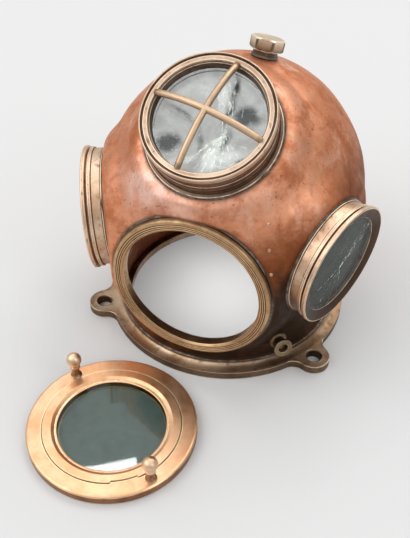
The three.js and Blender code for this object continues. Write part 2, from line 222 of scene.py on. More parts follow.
def add_piece(name, verts, faces, place, material, slot, replaces=(), edge=None, sharp=SHARP, **layers):
    """Makes one piece from points in millimetres, placed by a matrix in the helmet's frame. Each
    layer is a value at every point that the materials read."""
    mesh = bpy.data.meshes.new(name)
    mesh.from_pydata([tuple(v) for v in verts], [], [tuple(f) for f in faces])
    if edge is not None:
        layers["edge"] = edge
    for layer_name, values in layers.items():
        layer = mesh.attributes.new(layer_name, "FLOAT", "POINT")
        layer.data.foreach_set("value", np.asarray(values, np.float32))
    mesh.transform(HELMET @ place)
    work = bmesh.new()
    work.from_mesh(mesh)
    bmesh.ops.remove_doubles(work, verts=work.verts, dist=MERGE)
    bmesh.ops.recalc_face_normals(work, faces=work.faces)
    work.to_mesh(mesh)
    work.free()
    mesh.shade_smooth()
    mesh.set_sharp_from_angle(angle=math.radians(sharp))
    mesh.materials.append(material)
    piece = show(name, mesh)
    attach(piece, "root")
    if replaces:
        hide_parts(*replaces)
    return piece


def grid_faces(columns, rows, wrap_rows):
    """Four-sided faces between columns of points; the last column joins the first."""
    faces = []
    last = rows if wrap_rows else rows - 1
    for i in range(columns):
        a = i * rows
        b = ((i + 1) % columns) * rows
        for j in range(last):
            k = (j + 1) % rows
            faces.append((a + j, b + j, b + k, a + k))
    return faces


def swept(name, turns, section_at, place, material, slot, replaces=(), closed=True, sharp=SHARP, dull=None):
    """Turns sections about the Z axis: section_at(turn) gives the section at that turn, and
    dull(radius, height, turn) how dark the metal is there, from 0 to 1 and almost black
    at 2: tarnish together with painted shade on walls, grooves and faces turned from the light."""
    verts = []
    edge = []
    shade = []
    for turn in turns:
        section = section_at(turn)
        for radius, height, weight in section:
            verts.append((*around(radius, turn), height))
            edge.append(weight)
            shade.append(float(dull(radius, height, turn)) if dull else 0.0)
    faces = grid_faces(len(turns), len(section), closed)
    return add_piece(name, verts, faces, place, material, slot, replaces, edge, sharp, shade=shade)


def even_turns(count):
    return [2 * math.pi * i / count for i in range(count)]


def lathe(name, section, place, material, slot, replaces=(), segments=192, *rest, **named):
    """Turns one section about the Z axis; what follows the segments is as in swept."""
    turns = even_turns(segments)
    return swept(name, turns, lambda turn: section, place, material, slot, replaces, *rest, **named)


# Materials


class Graph:
    """The node tree of a material or world, and short ways to add nodes to it."""

    def __init__(self, owner, place="Object"):
        owner.use_nodes = True
        self.owner = owner
        self.nodes = owner.node_tree.nodes
        self.place = self.nodes.new("ShaderNodeTexCoord").outputs[place]

    def feed(self, socket, value):
        if isinstance(value, bpy.types.NodeSocket):
            self.owner.node_tree.links.new(value, socket)
        elif isinstance(value, tuple) and len(value) == 3 and socket.type == "RGBA":
            socket.default_value = (*value, 1)
        else:
            socket.default_value = value

    def feed_all(self, node, values):
        """Feeds a node's inputs, whose names are written with _ for a space."""
        for name, value in values.items():
            self.feed(node.inputs[name.replace("_", " ")], value)
        return node

    def node(self, kind, **values):
        return self.feed_all(self.nodes.new("ShaderNode" + kind), values)

    def stretched(self, x, y, z):
        return self.node("Mapping", Vector=self.place, Scale=(x, y, z)).outputs["Vector"]

    def noise(self, scale, detail=4, rough=0.55, warp=0, place=None):
        node = self.node("TexNoise", Vector=place or self.place, Scale=scale, Detail=detail)
        node.inputs["Roughness"].default_value = rough
        node.inputs["Distortion"].default_value = warp
        return node.outputs["Fac"]

    def band(self, value, low, high, to_low=0.0, to_high=1.0):
        """Eases from to_low at low to to_high at high."""
        ends = dict(From_Min=low, From_Max=high, To_Min=to_low, To_Max=to_high)
        node = self.node("MapRange", Value=value, **ends)
        node.interpolation_type = "SMOOTHSTEP"
        return node.outputs["Result"]

    def mix(self, share, a, b):
        node = self.nodes.new("ShaderNodeMix")
        node.data_type = "RGBA"  # its colours are inputs 6 and 7 and output 2
        self.feed(node.inputs["Factor"], share)
        self.feed(node.inputs[6], a)
        self.feed(node.inputs[7], b)
        return node.outputs[2]

    def math(self, operation, a, b=0.0):
        node = self.nodes.new("ShaderNodeMath")
        node.operation = operation
        self.feed(node.inputs[0], a)
        self.feed(node.inputs[1], b)
        return node.outputs[0]

    def layer(self, name):
        node = self.nodes.new("ShaderNodeAttribute")
        node.attribute_name = name
        return node.outputs["Fac"]

    def bump(self, height, strength, distance, normal=None):
        node = self.node("Bump", Height=height, Strength=strength, Distance=distance)
        if normal is not None:
            self.feed(node.inputs["Normal"], normal)
        return node.outputs["Normal"]

    def done(self, **values):
        """Feeds the material's own inputs and gives the material."""
        self.feed_all(self.nodes["Principled BSDF"], values)
        return self.owner


def new_material(name):
    return Graph(bpy.data.materials.new(name))


def old_metal(name, bright, middle, dark, rough=(0.3, 0.5), spots=0.5, bump=0.5, dirt=0.55):
    """Worn metal: cloudy patina, dark specks, fine scratches, rubbed edges with painted highlights, grime
    with painted shade in inside corners, and tarnish with painted shade where the shade layer is set.
    """
    g = new_material(name)
    cloud = g.noise(22, 6, 0.6, 0.4)
    fine = g.noise(130, 8, 0.65, 0.3)
    speck = g.noise(420, 4, 0.6)
    scratch = g.noise(60, 5, 0.7, 0.2, g.stretched(1, 1, 14))
    color = g.mix(g.band(cloud, 0.38, 0.62), middle, bright)
    color = g.mix(g.band(fine, 0.5, 0.75, 0, dirt), color, dark)
    color = g.mix(g.band(speck, 0.62, 0.72, 0, spots), color, dark)
    # tarnish mixed with painted shade, from the piece's shade layer; at 2 it is almost black
    dull = g.math("MULTIPLY", g.layer("shade"), g.band(fine, 0.3, 0.6, 1.0, 0.86))
    tarnish_and_shade_tone = g.mix(g.band(cloud, 0.35, 0.65), tuple(0.6 * c for c in dark), tuple(1.2 * c for c in dark))
    color = g.mix(dull, color, tarnish_and_shade_tone)
    color = g.mix(g.band(g.layer("shade"), 1.1, 2.0), color, tuple(0.3 * c for c in dark))
    edge = g.layer("edge")
    # rubbed edges, brightened beyond wear as painted highlights where light catches the bevels
    rubbed_and_highlight = g.math("MULTIPLY", g.band(edge, 0.1, 0.75), g.band(fine, 0.3, 0.6, 0.35, 1))
    color = g.mix(rubbed_and_highlight, color, tuple(min(1, 1.25 * c + 0.06) for c in bright))
    # grime and painted shade in inside corners and grooves, where the edge layer is below 0
    grime_and_crease_shade = g.band(edge, -0.1, -0.7, 0, 0.85)
    color = g.mix(grime_and_crease_shade, color, tuple(0.35 * c for c in dark))
    rough = g.math("ADD", g.band(fine, 0.3, 0.75, *rough), g.band(grime_and_crease_shade, 0, 1, 0, 0.2))
    normal = g.bump(cloud, 0.25 * bump, 0.002)
    normal = g.bump(fine, 0.22 * bump, 0.0006, normal)
    normal = g.bump(scratch, 0.12 * bump, 0.0002, normal)
    return g.done(Base_Color=color, Metallic=1.0, Roughness=rough, Normal=normal)


def copper_metal():
    """Hammered dome copper: orange-brown with darker clouds, dark specks and pale nicks; a pale painted
    sheen at the upper left; painted shade at the lower right and on the neck, nearly black there, and where
    the dome meets the rings and the collar."""
    g = new_material("copper")
    cloud = g.noise(13, 6, 0.6, 0.3)
    patch = g.noise(40, 8, 0.66, 0.3)
    mottle = g.noise(95, 6, 0.62, 0.2)
    fine = g.noise(260, 6, 0.6, 0.2)
    speck = g.noise(300, 3, 0.55)
    streak = g.noise(34, 7, 0.7, 0.4, g.stretched(1, 1, 0.3))
    color = g.mix(g.band(cloud, 0.35, 0.65), (0.66, 0.255, 0.12), (0.79, 0.37, 0.215))
    color = g.mix(g.band(patch, 0.46, 0.68, 0, 0.7), color, (0.44, 0.145, 0.055))
    color = g.mix(g.band(mottle, 0.5, 0.68, 0, 0.5), color, (0.46, 0.16, 0.07))
    color = g.mix(g.band(streak, 0.5, 0.7, 0, 0.6), color, (0.90, 0.58, 0.44))
    # painted sheen: a pale pink sheet of light at the upper left and beside the top ring
    bloom = g.math("MULTIPLY", g.layer("bloom"), g.band(patch, 0.35, 0.6, 1.0, 0.4))
    color = g.mix(bloom, color, (0.93, 0.68, 0.60))
    color = g.mix(g.band(speck, 0.66, 0.72, 0, 0.8), color, (0.14, 0.065, 0.035))
    nick = g.noise(110, 3, 0.7, 0.1, g.stretched(1, 0.5, 1))
    color = g.mix(g.band(nick, 0.7, 0.76, 0, 0.75), color, (0.92, 0.66, 0.52))
    # painted shade from the shade layer: the lower right, the right side, the neck and the inner face
    shade = g.math("MULTIPLY", g.layer("shade"), g.band(patch, 0.25, 0.7, 0.75, 1.15))
    color = g.mix(g.band(shade, 0.05, 0.6), color, (0.27, 0.085, 0.032))
    color = g.mix(g.band(shade, 0.55, 1.0), color, (0.05, 0.028, 0.017))
    # painted shade where the dome meets the rings and the collar, from the edge layer
    color = g.mix(g.band(g.layer("edge"), 0.3, 0.95, 0, 0.6), color, (0.12, 0.07, 0.05))
    rough = g.band(patch, 0.3, 0.7, 0.45, 0.64)
    rough = g.math("ADD", rough, g.band(mottle, 0.3, 0.7, -0.06, 0.08))
    normal = g.bump(g.noise(70, 3, 0.5, 0.3), 0.22, 0.001)
    normal = g.bump(mottle, 0.25, 0.0005, normal)
    normal = g.bump(fine, 0.2, 0.0002, normal)
    return g.done(Base_Color=color, Metallic=1.0, Roughness=rough, Normal=normal)


def solder_metal():
    """Grey-brown solder, uneven and half matt."""
    g = new_material("solder")
    patch = g.noise(120, 6, 0.65, 0.4)
    color = g.mix(g.band(patch, 0.36, 0.6), (0.21, 0.175, 0.14), (0.10, 0.07, 0.05))
    rough = g.band(patch, 0.3, 0.7, 0.38, 0.6)
    return g.done(Base_Color=color, Metallic=0.75, Roughness=rough, Normal=g.bump(patch, 0.5, 0.0007))


def pane_glass(name, tint, haze, index=1.5):
    """Thick tinted glass with smears and a slightly uneven face."""
    g = new_material(name)
    smear = g.noise(30, 6, 0.6, 0.8)
    color = g.mix(g.band(smear, 0.4, 0.7), tint, tuple(0.85 * c for c in tint))
    rough = g.band(smear, 0.45, 0.75, 0.02, haze)
    normal = g.bump(g.noise(16, 2, 0.5), 0.08, 0.001)
    return g.done(Base_Color=color, Roughness=rough, Transmission_Weight=1.0, IOR=index, Normal=normal)


def film_on_glass(name, pale, dark, thick, thin, glow=0.0, flecks=0.9):
    """The old film on a pane's inner face: haze, darker stains, white smears and bright flecks; a glow
    above 0 makes it shine as painted light.
    """
    g = new_material(name)
    haze = g.noise(34, 6, 0.6, 1.2)
    fine = g.noise(190, 6, 0.7, 0.6)
    fleck = g.noise(520, 2, 0.6)
    stain = g.math("MULTIPLY", g.layer("shade"), g.band(fine, 0.25, 0.6, 0.6, 1.0))
    white = g.math("MULTIPLY", g.layer("bloom"), g.band(fine, 0.3, 0.6, 0.5, 1.2))
    color = g.mix(g.band(haze, 0.35, 0.65), pale, tuple(0.78 * c for c in pale))
    color = g.mix(g.band(stain, 0.1, 0.95), color, dark)
    color = g.mix(g.band(fleck, 0.68, 0.74, 0, flecks), color, (0.95, 0.96, 0.95))
    color = g.mix(g.band(white, 0.1, 0.9), color, (0.98, 0.98, 0.98))
    cover = g.math("MAXIMUM", g.band(haze, 0.3, 0.7, thick, thin), g.band(stain, 0.1, 0.5))
    cover = g.math("MAXIMUM", cover, g.band(white, 0.1, 1.0))
    return g.done(
        Base_Color=color, Roughness=0.6, Emission_Color=color, Emission_Strength=glow, Alpha=cover
    )


def crack_glass(name, glow, cover):
    """The broken faces inside the glass, pale sheets whose glints are painted: they glow by themselves."""
    g = new_material(name)
    fine = g.noise(230, 5, 0.65, 0.3)
    color = g.mix(g.band(fine, 0.35, 0.65), (0.80, 0.84, 0.80), (0.97, 0.98, 0.96))
    rough = g.band(fine, 0.3, 0.7, 0.15, 0.4)
    alpha = g.band(fine, 0.4, 0.62, 0.0, cover)
    # painted glints: the cracks glow instead of reflecting light
    light = dict(Emission_Color=(0.86, 0.92, 0.86), Emission_Strength=glow)
    return g.done(Base_Color=color, Roughness=rough, Alpha=alpha, **light)


COPPER = copper_metal()
RING_BRASS = old_metal(
    "ring_brass", (0.82, 0.60, 0.43), (0.56, 0.35, 0.22), (0.14, 0.072, 0.04), (0.36, 0.52), 0.6, 0.5, 0.75
)
TOP_BRASS = old_metal(
    "top_brass", (0.68, 0.52, 0.39), (0.46, 0.32, 0.22), (0.14, 0.085, 0.055), (0.36, 0.54), 0.6, 0.6, 0.8
)
FRONT_BRASS = old_metal(
    "front_brass", (0.56, 0.37, 0.20), (0.36, 0.21, 0.105), (0.09, 0.048, 0.026), (0.34, 0.5), 0.6, 0.5, 0.8
)
BAR_BRASS = old_metal(
    "bar_brass", (0.56, 0.39, 0.25), (0.38, 0.25, 0.155), (0.13, 0.075, 0.045), (0.38, 0.52), 0.5, 0.6, 0.75
)
FLANGE_BRASS = old_metal(
    "flange_brass", (0.58, 0.43, 0.30), (0.34, 0.21, 0.12), (0.11, 0.062, 0.034), (0.38, 0.56),
    0.6, 0.6, 0.85,
)
STUB_BRASS = old_metal(
    "stub_brass", (0.27, 0.185, 0.11), (0.13, 0.09, 0.055), (0.04, 0.028, 0.018), (0.36, 0.55)
)
CAP_BRASS = old_metal(
    "cap_brass", (0.98, 0.82, 0.62), (0.84, 0.64, 0.44), (0.20, 0.12, 0.07), (0.34, 0.5), 0.4, 0.4, 0.3
)
PLATE_COPPER = old_metal(
    "plate_copper", (0.97, 0.61, 0.37), (0.86, 0.45, 0.235), (0.28, 0.11, 0.05), (0.3, 0.42),
    0.12, 0.25, 0.22,
)
KNOB_BRASS = old_metal(
    "knob_brass", (0.90, 0.68, 0.48), (0.76, 0.52, 0.34), (0.24, 0.13, 0.07), (0.36, 0.46), 0.4, 0.4, 0.3
)
SOLDER = solder_metal()
TOP_GLASS = pane_glass("top_glass_pane", (0.97, 0.98, 0.97), 0.12)
SIDE_GLASS = pane_glass("side_glass_pane", (0.60, 0.66, 0.62), 0.10, 1.12)
PLATE_GLASS = pane_glass("plate_glass_pane", (0.47, 0.56, 0.53), 0.05)
# the top film glows a little: painted light, as if lit from within
TOP_FILM = film_on_glass("top_film", (0.82, 0.83, 0.83), (0.03, 0.04, 0.04), 1.0, 0.94, 0.16)
SIDE_FILM = film_on_glass(
    "side_film", (0.045, 0.047, 0.042), (0.015, 0.017, 0.015), 1.0, 0.95, 0.0, 0.2
)
PLATE_FILM = film_on_glass("plate_film", (0.50, 0.56, 0.54), (0.05, 0.06, 0.06), 0.1, 0.0)
TOP_CRACK = crack_glass("top_crack", 0.5, 0.75)
SIDE_CRACK = crack_glass("side_crack", 1.1, 0.85)


# Dome


def ball_on_neck(inset):
    """The round form before it is made oval, as rows of (radius, height)."""
    ball = DOME_HALF_HEIGHT - inset
    neck = NECK_RADIUS - inset
    fillet = NECK_FILLET + inset
    drop = math.sqrt((ball + fillet) ** 2 - (neck + fillet) ** 2)
    tangent = math.acos(-drop / (ball + fillet))
    rows = []
    for i in range(DOME_ROWS + 1):
        angle = tangent * i / DOME_ROWS
        rows.append((ball * math.sin(angle), DOME_HEIGHT + ball * math.cos(angle)))
    for i in range(1, FILLET_ROWS + 1):
        angle = tangent + (math.pi / 2 - tangent) * i / FILLET_ROWS
        radius = neck + fillet - fillet * math.sin(angle)
        rows.append((radius, DOME_HEIGHT - drop - fillet * math.cos(angle)))
    straight = rows[-1][1]
    for i in range(1, NECK_ROWS + 1):
        rows.append((neck, straight + (COLLAR_TOP + GAP - straight) * i / NECK_ROWS))
    rows.append((neck, LEDGE + GAP))
    return rows


def smooth(low, high, value):
    share = np.clip((value - low) / (high - low), 0, 1)
    return share * share * (3 - 2 * share)


def onto_dome(points, inset):
    """Moves points of the round form onto the real dome: oval, set back, flat at each window."""
    oval = smooth(DOME_HEIGHT - DOME_HALF_HEIGHT / 2, DOME_HEIGHT, points[:, 2])
    depth = np.where(points[:, 1] < 0, DOME_FRONT, DOME_BACK)
    points[:, 0] *= 1 + (DOME_WIDTH / DOME_HALF_HEIGHT - 1) * oval
    points[:, 1] *= 1 + (depth / DOME_HALF_HEIGHT - 1) * oval
    points[:, 1] += DOME_SET_BACK * oval
    above = smooth(COLLAR_TOP, COLLAR_TOP + NECK_FILLET, points[:, 2])
    for window in WINDOWS.values():
        local, aside = seen_from(window, points)
        flat = window["outer"] + SEAT_MARGIN
        reach = 1 - smooth(flat, flat + SEAT_BLEND, aside)
        share = reach * (local[:, 2] > -SEAT_REACH) * above
        local[:, 2] += (-inset - local[:, 2]) * share
        points[:] = local @ window["matrix"][:3, :3].T + window["matrix"][:3, 3]
    return points


# Dents in the copper: turn and rise seen from the dome's middle, radius and depth
DENTS = (
    (38, -8, 16, 0.9), (52, 12, 12, 0.5), (30, 18, 14, 0.5), (44, 30, 18, 0.6), (20, 30, 10, 0.4),
    (-34, 22, 18, 0.8), (-48, 36, 15, 0.5), (-30, -6, 14, 0.7), (-62, 50, 22, 0.6), (80, 40, 20, 0.7),
    (100, 10, 22, 0.8), (130, 30, 26, 0.9), (165, 10, 24, 1.0), (-120, 20, 24, 0.9), (-150, 40, 20, 0.7),
    (-100, 55, 16, 0.5), (60, 60, 18, 0.5), (120, 62, 15, 0.4), (47, -22, 12, 0.8), (35, 5, 9, 0.5),
)


def hammered(points):
    """Pushes points in by shallow hammer marks and by the larger dents."""
    middle = np.array((0, DOME_SET_BACK, DOME_HEIGHT))
    out = points - middle
    out /= np.linalg.norm(out, axis=1)[:, None]
    push = np.zeros(len(points))
    for i, point in enumerate(points):
        place = Vector(point)
        push[i] = 0.3 * noise.noise(place / 21) + 0.14 * noise.noise(place / 9) - SET_IN
    for turn, rise, radius, depth in DENTS:
        apart = np.linalg.norm(out - np.array(direction(turn, rise)), axis=1) * DOME_HALF_HEIGHT
        push -= depth * np.exp(-((apart / radius) ** 2) * 2)
    calm = smooth(COLLAR_TOP, COLLAR_TOP + NECK_FILLET, points[:, 2])
    for window in WINDOWS.values():
        local, aside = seen_from(window, points)
        far = window["outer"] + CALM_BAND
        near = (aside < far) & (local[:, 2] > -SEAT_REACH)
        calm *= np.where(near, smooth(window["outer"], far, aside), 1)
    return points + out * (push * calm)[:, None]


def tones(points):
    """How dark and how pale the copper is, both painted: painted shade on the neck, most of all at the
    front right, between the front and right windows and along the right side; a painted sheen between the
    top and front windows."""
    turn = np.degrees(np.arctan2(points[:, 0], -points[:, 1]))
    rise = points[:, 2]
    out = points - np.array((0, DOME_SET_BACK, DOME_HEIGHT))
    out /= np.linalg.norm(out, axis=1)[:, None]
    shade = smooth(0.2, 0.88, out @ np.array(direction(50, -42)))
    shade = np.maximum(shade, 0.55 * (1 - smooth(28, 72, rise)))
    edge_of_right = smooth(58, 78, turn) * (1 - smooth(110, 150, turn)) * (1 - smooth(175, 225, rise))
    shade = np.maximum(shade, 0.5 * edge_of_right)
    # painted sheen between the top and front windows
    bloom = np.exp(-(((turn + 24) / 20) ** 2)) * np.exp(-(((rise - 196) / 17) ** 2))
    bloom += 0.3 * np.exp(-(((turn - 14) / 24) ** 2)) * np.exp(-(((rise - 204) / 16) ** 2))
    return shade, np.clip(bloom, 0, 1)


def make_shell():
    """The copper shell as two like grids, open at the windows, with walls between their edges."""
    grids = []
    for inset in (0, SHELL_WALL):
        rows = ball_on_neck(inset)
        verts = []
        for i in range(DOME_COLUMNS):
            turn = 2 * math.pi * i / DOME_COLUMNS
            for radius, height in rows:
                verts.append((radius * math.sin(turn), -radius * math.cos(turn), height))
        grids.append(onto_dome(np.array(verts), inset))
    row_count = len(rows)
    outer = hammered(grids[0])
    inner = hammered(grids[1])
    hole = np.zeros(len(outer), bool)
    # painted shade next to each ring's foot and just above the collar
    join_shade = np.zeros(len(outer))
    for window in WINDOWS.values():
        local, aside = seen_from(window, outer)
        front = local[:, 2] > -SEAT_REACH
        hole |= front & (aside < window["spigot"] + GAP)
        join_shade = np.maximum(join_shade, front * (1 - smooth(0, 5, np.abs(aside - window["outer"] - 0.5))))
    join_shade = np.maximum(join_shade, 1 - smooth(2, 7, outer[:, 2] - COLLAR_TOP))
    shade, bloom = tones(outer)
    faces = grid_faces(DOME_COLUMNS, row_count, False)
    kept = [f for f in faces if not all(hole[v] for v in f)]
    count = len(outer)
    edges = dict.fromkeys((a, b) for f in kept for a, b in zip(f, f[1:] + f[:1]))
    walls = []
    for a, b in edges:
        if (b, a) not in edges and np.abs(outer[a] - outer[b]).max() > 1e-6:
            walls.append((b, a, a + count, b + count))
    inside = [tuple(v + count for v in reversed(f)) for f in kept]
    # The inner face gets painted shade of 0.6 and no sheen.
    return add_piece(
        "bonnet_skin", np.vstack((outer, inner)), kept + inside + walls, Matrix.Identity(4), COPPER,
        "copper", ("bonnet_shell",), np.concatenate((join_shade, np.zeros(count))), 60,
        shade=np.concatenate((shade, np.full(count, 0.6))), bloom=np.concatenate((bloom, np.zeros(count))),
    )


# Neck flange


def lug_outline():
    """The flange's outline as turns and radii: a circle with three lugs and their hollow corners."""
    near_ring = FLANGE_RADIUS + LUG_FILLET
    near_lug = LUG_RADIUS + LUG_FILLET
    along = (near_ring**2 - near_lug**2 + LUG_DISTANCE**2) / (2 * LUG_DISTANCE)
    aside = math.sqrt(near_ring**2 - along**2)
    at_ring = math.atan2(aside, along)
    at_lug = math.atan2(aside, along - LUG_DISTANCE)
    half = []
    for i in range(25):
        angle = at_lug * i / 24
        x, y = around(LUG_RADIUS, angle)
        half.append((LUG_DISTANCE + x, y))
    for i in range(1, 17):
        angle = at_lug - math.pi + (at_ring - at_lug) * i / 16
        x, y = around(LUG_FILLET, angle)
        half.append((along + x, aside + y))
    lug = [(math.atan2(y, x), math.hypot(x, y)) for x, y in half]
    lug = [(-turn, radius) for turn, radius in reversed(lug[1:])] + lug
    outline = []
    for middle in LUG_TURNS:
        turned = math.radians(middle - 90)
        outline += [(turned + turn, radius) for turn, radius in lug]
        gap_start = turned + lug[-1][0]
        gap_size = 2 * math.pi / 3 - 2 * lug[-1][0]
        for i in range(1, 60):
            outline.append((gap_start + gap_size * i / 60, FLANGE_RADIUS))
    return outline


def flange_section(outside):
    """The flange's section where its outline lies at this radius. Only the two outer corners are
    bevelled, so that all sections have the same number of points."""
    bed = NECK_RADIUS + GAP
    collar = bed + COLLAR_WALL
    edge = FLANGE_RADIUS - FLANGE_CHAMFER
    points = [(HEAD_BORE, 0), (outside, 0), (outside, FLANGE_EDGE), (edge, FLANGE_EDGE)]
    for i in range(1, 7):
        angle = math.pi / 2 * i / 6
        points.append((
            edge - (edge - collar) * math.sin(angle),
            COLLAR_TOP - (COLLAR_TOP - FLANGE_EDGE) * math.cos(angle),
        ))
    points += [(bed, COLLAR_TOP), (bed, LEDGE), (HEAD_BORE, LEDGE)]
    if outside <= FLANGE_RADIUS + 1e-6:
        points[3] = (outside - 0.05, FLANGE_EDGE + 0.001)
    section = []
    for i, point in enumerate(points):
        here = Vector(point)
        if i not in (1, 2):
            section.append((*here, 0.0))
            continue
        before = (Vector(points[i - 1]) - here).normalized()
        after = Vector(points[i + 1]) - here
        room = after.length
        after.normalize()
        near = min(FLANGE_BEVEL, 0.4 * room)
        for offset, weight in (
            (before * 1.3, 0.0), (before * FLANGE_BEVEL, 0.45),
            (before * FLANGE_BEVEL * 0.3 + after * near * 0.3, 0.6),
            (after * near, 0.45), (after * min(1.3, 0.8 * room), 0.0),
        ):
            section.append((*(here + offset), weight))
    return section


def make_flange():
    outline = lug_outline()
    reach = dict(outline)

    # painted shade: a darker outer wall, darker lug tops and a shoulder that darkens towards the stub
    def dull(radius, height, turn):
        if radius > FLANGE_RADIUS - 0.2 and height < FLANGE_EDGE - 0.6:
            return 0.9
        if radius > FLANGE_RADIUS + 1:
            return 0.7
        aside = math.degrees(math.remainder(turn + math.radians(38), 2 * math.pi))
        return 0.9 * math.exp(-((aside / 26) ** 2)) if radius < FLANGE_RADIUS - 3 else 0.1

    piece = swept(
        "flange_casting", [turn for turn, radius in outline], lambda turn: flange_section(reach[turn]),
        Matrix.Identity(4), FLANGE_BRASS, "flange_brass", ("neck_flange",), dull=dull,
    )
    profile = [(0, -2), (BOLT_HOLE, -2), (BOLT_HOLE, FLANGE_EDGE - BOLT_SINK_DEPTH)]
    profile += [(BOLT_SINK, FLANGE_EDGE), (BOLT_SINK + 1, FLANGE_EDGE + 1), (0, FLANGE_EDGE + 1)]
    profile = [(r, z, 0.0) for r, z in profile]
    cutters = []
    for turn in LUG_TURNS:
        place = Matrix.Translation(direction(turn, 0) * LUG_DISTANCE)
        cutters.append(lathe("bolt_cutter", profile, place, FLANGE_BRASS, "flange_brass", (), 64, False))
    apply_cuts(piece, cutters)
    darken_holes(piece.data)


def darken_holes(mesh):
    """Gives the points that the cuts made their tones: painted shade on the holes' walls and a slightly
    rubbed brim with a painted edge highlight.
    """
    to_helmet = HELMET.inverted()
    shade = mesh.attributes["shade"].data
    edge = mesh.attributes["edge"].data
    for vertex in mesh.vertices:
        point = to_helmet @ vertex.co
        for turn in LUG_TURNS:
            aside = (point - direction(turn, 0) * LUG_DISTANCE).xy.length
            if aside < BOLT_SINK + 0.1:
                wall = aside < BOLT_HOLE + 0.1
                shade[vertex.index].value = 1.3 if wall else 0.8
                edge[vertex.index].value = 0.0 if wall else 0.4


def apply_cuts(piece, cutters):
    """Cuts pieces out of another for good, and removes the slivers that this leaves."""
    for cutter in cutters:
        cut = piece.modifiers.new("cut", "BOOLEAN")
        cut.operation = "DIFFERENCE"
        cut.object = cutter
        cut.solver = "EXACT"
    bpy.context.view_layer.update()
    done = bpy.data.meshes.new_from_object(piece.evaluated_get(bpy.context.evaluated_depsgraph_get()))
    piece.modifiers.clear()
    old = piece.data
    piece.data = done
    bpy.data.meshes.remove(old)
    work = bmesh.new()
    work.from_mesh(done)
    bmesh.ops.dissolve_degenerate(work, dist=SLIVER, edges=work.edges)
    work.to_mesh(done)
    work.free()
    piece.data.shade_smooth()
    piece.data.set_sharp_from_angle(angle=math.radians(CUT_SHARP))
    for cutter in cutters:
        bpy.data.objects.remove(cutter)


# Window rings


def window_ring(name, node, bore, points, material, dull, segments=200, radius=0.35, support=0.8):
    """Turns a window's ring. The points follow on from its spigot, which goes through the shell."""
    window = WINDOWS[name]
    spigot = window["spigot"]
    foot = [(bore, SPIGOT_BACK), (spigot, SPIGOT_BACK), (spigot, GAP), (window["outer"], GAP)]
    section = rounded(foot + points, radius, support)
    lathe(name + "_frame", section, window["frame"], material, "window_brass", (node,), segments, dull=dull)


def front_ring():
    face = WINDOWS["front"]["ring"]
    outer = WINDOWS["front"]["outer"]
    bore = 67.5
    inset = 1.8
    rim = 77.4

    # painted shade on the outer wall and in the grooves
    def dull(radius, height, turn):
        return height < face - 0.3 and (radius > rim + 1 or 70 < radius < 75.5)

    points = [(outer, face / 2), (rim + 0.2, face - 0.7), (rim - 1.0, face)]
    for groove in (74.6, 72.6, 70.8):
        points += [(groove + 0.5, face), (groove + 0.12, face - 0.9)]
        points += [(groove - 0.12, face - 0.9), (groove - 0.5, face)]
    points += [(bore + inset, face - 0.1), (bore, face - inset)]
    window_ring("front", "front_ring", bore, points, FRONT_BRASS, dull, 220, 0.3, 0.7)


def top_ring():
    lip = WINDOWS["top"]["ring"] - 0.1
    rim = lip - 0.6

    # tarnish and painted shade on the barrel under the lip, on the inner wall and in the lip's groove
    def dull(radius, height, turn):
        return height < lip - 5.5 or radius < 50.5 or (55 < radius < 57.4 and height < rim - 0.6)

    points = [(WINDOWS["top"]["outer"], 1.6), (57.9, 2.8), (57.3, 5.4), (57.3, 9), (58.1, 9.6)]
    points += [(58.1, 15.6), (57.4, 16.2), (57.0, 19), (56.6, lip - 6.0), (56.6, lip - 5.2)]
    points += [(58.9, lip - 5), (58.9, lip - 0.8), (58.2, lip), (57.6, lip), (57.0, rim - 1.1)]
    points += [(55.8, rim - 1.1), (55.2, rim), (51.4, rim), (50.6, rim - 2.2), (50.0, rim - 2.4)]
    points += [(49.0, lip - 8.7), (49.0, 13), (44, 13)]
    window_ring("top", "top_window_ring", 44, points, TOP_BRASS, dull)


def side_ring(side):
    lip = WINDOWS[side]["ring"]
    foot = lip - 4.2

    # painted shade, almost black, on the sloping face round the glass
    def dull(radius, height, turn):
        return 1.7 if radius < 59 and height > lip - 3.6 else 0.0

    points = [(WINDOWS[side]["outer"], 2.2), (57.6, 2.6), (57.6, foot - 5.4), (59.2, foot - 5.2)]
    points += [(59.2, foot - 2.2), (56.6, foot - 1.8), (56.6, foot - 0.5), (59.8, foot)]
    points += [(60.6, foot + 0.6), (60.6, lip - 0.9), (59.6, lip), (58.6, lip - 0.2)]
    points += [(49.4, lip - 2.9), (48.6, lip - 3.3), (48.6, 10.4), (44, 10.4)]
    window_ring(side, side + "_window_ring", 44, points, RING_BRASS, dull)


def pane(name, radius, low, high, place, material, slot):
    points = [(0, low), (radius, low), (radius, high), (0, high)]
    section = rounded(points, 0.6, 1.2, False)
    lathe(name + "_pane", section, place, material, slot, (name + "_glass",), 128, False)


def make_panes():
    pane("top", 48.7, 13.4, 21.3, WINDOWS["top"]["frame"], TOP_GLASS, "window_glass")
    for side in ("right", "left"):
        pane(side, 48.3, 10.8, 18.3, WINDOWS[side]["frame"], SIDE_GLASS, "window_glass")


# Guard bars

BAR_RADIUS = 2.9
BAR_TURNS = (-13.5, 77.5)
BAR_BOW = 12.5
BAR_FOOT = 27.4
BAR_REACH = 51.1


